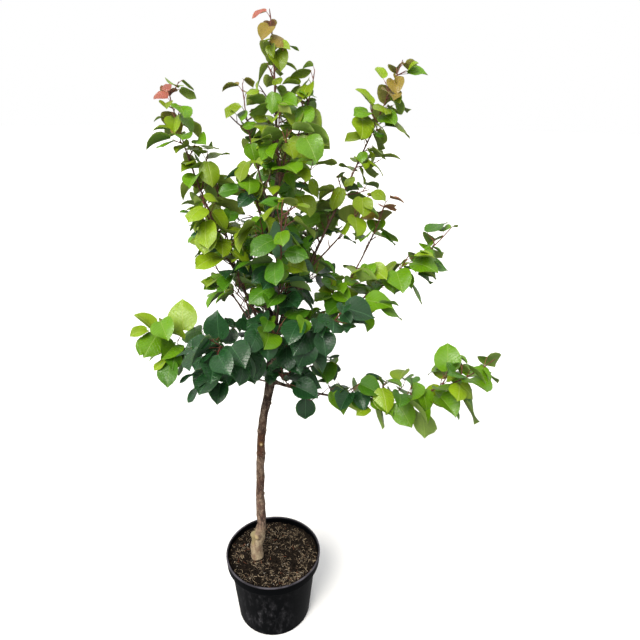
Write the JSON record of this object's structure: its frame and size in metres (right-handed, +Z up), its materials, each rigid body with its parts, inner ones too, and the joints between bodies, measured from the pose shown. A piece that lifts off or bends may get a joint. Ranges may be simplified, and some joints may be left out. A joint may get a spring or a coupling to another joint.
{
  "type": "young apricot tree in a nursery pot",
  "caption": "Young grafted apricot tree with a slim leaning trunk and an open leafy crown, growing in a round black nursery pot filled with soil.",
  "frame": {"origin": "centre of the pot's flat underside, on the surface it stands on", "axes": "+Z up along the trunk, -Y towards the viewer of the front, +X to the right as seen from the front"},
  "size_m": [0.8829, 0.677, 1.6602],
  "materials": {
    "pot": "black moulded polypropylene, satin with dusty scuffs",
    "soil": "dark crumbly potting soil with bark chips and fibres",
    "bark": "grey-brown bark, rough at the graft and smooth higher up",
    "leaves": "broad smooth green leaves, lime at the ends and bronze at the tips"
  },
  "bodies": {
    "root": {"pot": "pot", "soil": "soil", "trunk": "bark", "bough_left_high": "bark", "bough_left_low": "bark", "bough_right_high": "bark", "bough_right_mid": "bark", "bough_right_low": "bark", "bough_front_high": "bark", "bough_front_left": "bark", "bough_front_right": "bark", "bough_back_high": "bark", "bough_back_low": "bark", "bough_back_left": "bark", "bough_back_right": "bark", "leaves_left_high": "leaves", "leaves_left_high_2": "leaves", "leaves_left_high_3": "leaves", "leaves_left_low": "leaves", "leaves_left_low_2": "leaves", "leaves_left_low_3": "leaves", "leaves_right_high": "leaves", "leaves_right_high_2": "leaves", "leaves_right_mid": "leaves", "leaves_right_mid_2": "leaves", "leaves_right_mid_3": "leaves", "leaves_right_low": "leaves", "leaves_front_high": "leaves", "leaves_front_left": "leaves", "leaves_front_right": "leaves", "leaves_front_right_2": "leaves", "leaves_back_high": "leaves", "leaves_back_high_2": "leaves", "leaves_back_low": "leaves", "leaves_back_low_2": "leaves", "leaves_back_left": "leaves", "leaves_back_left_2": "leaves", "leaves_back_right": "leaves", "leaves_back_right_2": "leaves", "leaves_inner_1": "leaves", "leaves_inner_2": "leaves", "leaves_inner_3": "leaves", "leaves_inner_4": "leaves", "leaves_inner_5": "leaves", "leaves_inner_6": "leaves", "leaves_inner_7": "leaves", "leaves_inner_8": "leaves", "leaves_inner_9": "leaves", "leaves_upper_left": "leaves", "leaves_upper_front": "leaves", "leaves_upper_right": "leaves", "leaves_upper_back": "leaves", "leaves_top": "leaves"}
  },
  "joints": []
}
